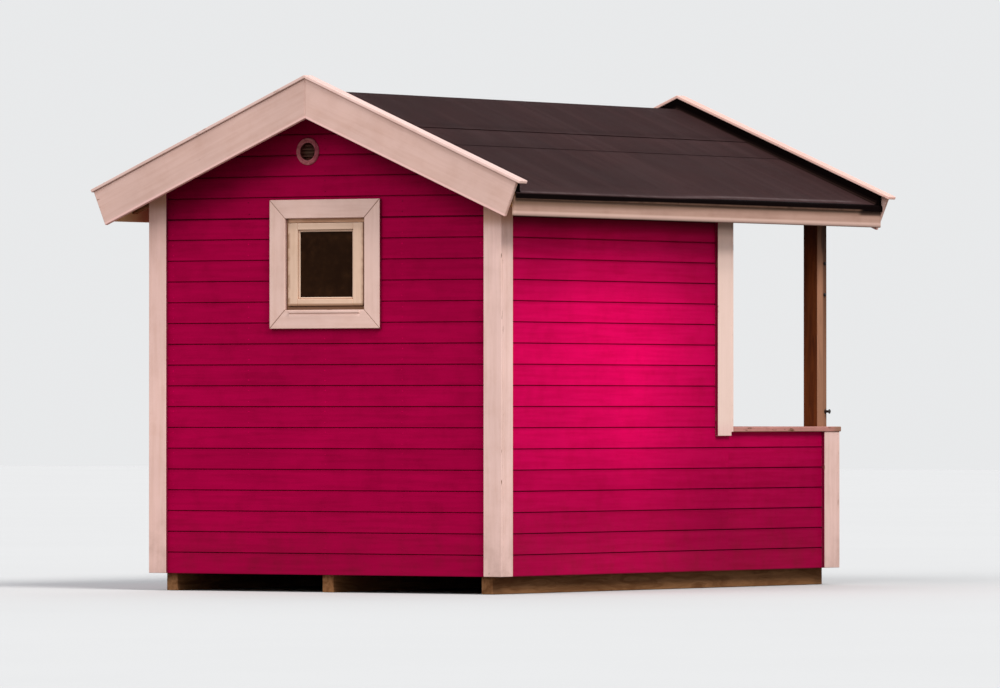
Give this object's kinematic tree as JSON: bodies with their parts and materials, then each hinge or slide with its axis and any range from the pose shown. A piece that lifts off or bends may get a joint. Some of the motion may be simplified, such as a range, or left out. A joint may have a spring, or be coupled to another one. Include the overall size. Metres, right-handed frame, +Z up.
{
  "type": "beach hut",
  "caption": "Clad wooden beach hut under a felted gable roof with deep bargeboards, a square window and round vent in the rear gable, and an open railed porch in front.",
  "frame": {"origin": "on the ground under the middle of the roof, the centre of the footprint", "axes": "+Z up, +Y along the ridge towards the rear gable with the window, -Y towards the porch, +X to the right of someone facing the porch from outside"},
  "size_m": [2.9904, 4.099, 2.9506],
  "materials": {
    "wall_paint": "faded magenta paint on shiplap boards",
    "trim_paint": "weathered off-white paint",
    "rail_paint": "worn off-white paint, brown where bare",
    "sash_paint": "cream paint",
    "lining_timber": "brown stained softwood",
    "post_timber": "brown stained softwood",
    "rough_timber": "bare sawn softwood",
    "floor_timber": "bare planed boards",
    "deck_timber": "greyed boards",
    "roofing_felt": "brown-black mineral felt",
    "black_iron": "black paint",
    "vent_metal": "dull weathered metal",
    "window_glass": "clear glass, dark behind"
  },
  "bodies": {
    "root": {"barge_caps_left": "trim_paint", "barge_caps_right": "trim_paint", "bargeboards_left": "trim_paint", "bargeboards_right": "trim_paint", "bearers": "rough_timber", "door_fittings": "black_iron", "door_frame": "trim_paint", "door_leaf": "trim_paint", "fascias": "trim_paint", "floor_joists": "rough_timber", "front_corner_boards": "trim_paint", "front_wall_over_door": "wall_paint", "front_wall_sides": "wall_paint", "gable_vent": "vent_metal", "left_wall": "wall_paint", "porch_beam": "rough_timber", "porch_deck": "deck_timber", "porch_front_rails": "rail_paint", "porch_front_walls": "wall_paint", "porch_gable": "wall_paint", "porch_head_board": "trim_paint", "porch_posts": "post_timber", "porch_side_rails": "rail_paint", "porch_side_walls": "wall_paint", "rafters_left": "rough_timber", "rafters_right": "rough_timber", "rear_corner_boards": "trim_paint", "rear_wall": "wall_paint", "ridge_board": "rough_timber", "ridge_felt": "roofing_felt", "right_wall": "wall_paint", "roof_boards_left": "rough_timber", "roof_boards_right": "rough_timber", "roof_felt_left": "roofing_felt", "roof_felt_right": "roofing_felt", "room_floor": "floor_timber", "side_corner_boards": "trim_paint", "verge_battens_left": "rough_timber", "verge_battens_right": "rough_timber", "wall_plates": "rough_timber", "window_glass": "window_glass", "window_lining": "lining_timber", "window_sash": "sash_paint", "window_trim_ends": "trim_paint", "window_trim_sides": "trim_paint"}
  },
  "joints": []
}
